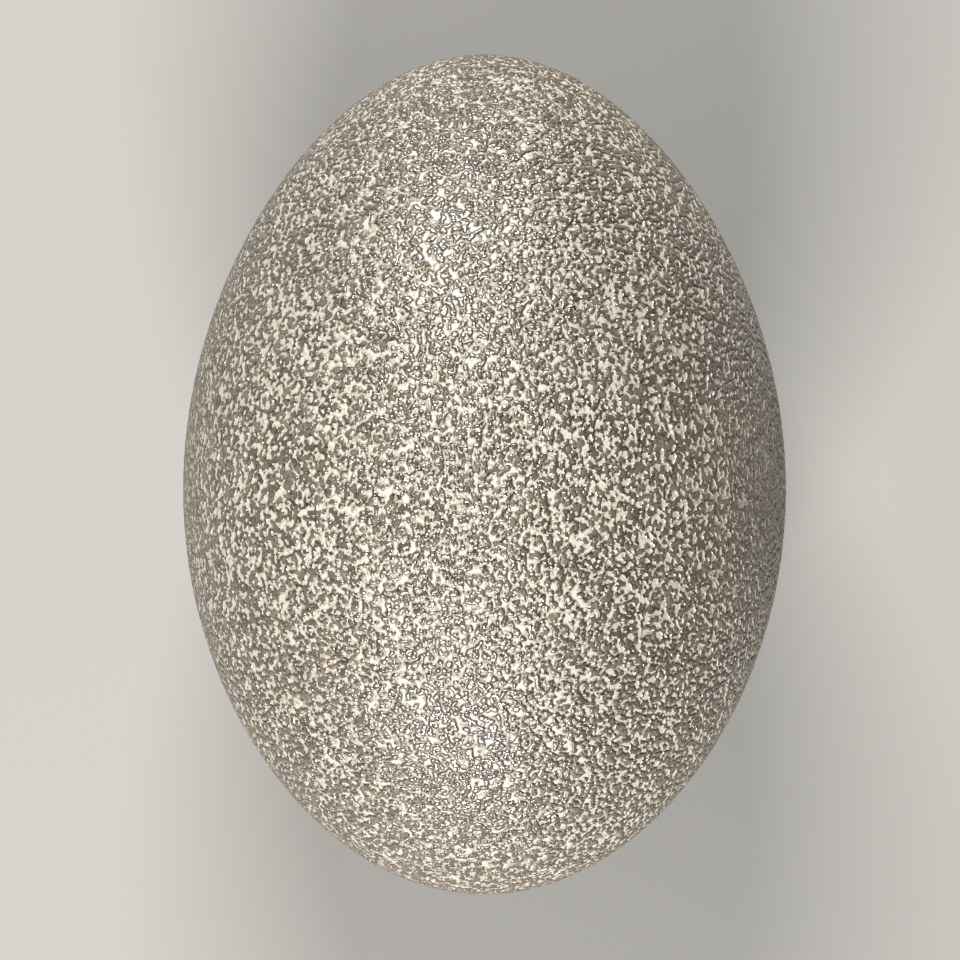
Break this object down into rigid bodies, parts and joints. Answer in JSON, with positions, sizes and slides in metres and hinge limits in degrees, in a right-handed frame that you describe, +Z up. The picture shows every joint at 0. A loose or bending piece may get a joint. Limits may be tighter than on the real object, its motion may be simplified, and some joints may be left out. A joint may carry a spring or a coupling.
{
  "type": "emu egg",
  "caption": "Whole emu egg lying level on its side: an elongated oval shell with fine, glossy, dark raised pebbling over pale ground.",
  "frame": {"origin": "on the plane of the resting spot, under the middle of the egg", "axes": "+Y along the egg's long axis, towards its slightly narrower end; +Z up"},
  "size_m": [0.0962, 0.1342, 0.0958],
  "materials": {
    "eggshell": "semi-gloss dark taupe pebbling over matte cream ground"
  },
  "bodies": {
    "root": {"egg": "eggshell"}
  },
  "joints": []
}
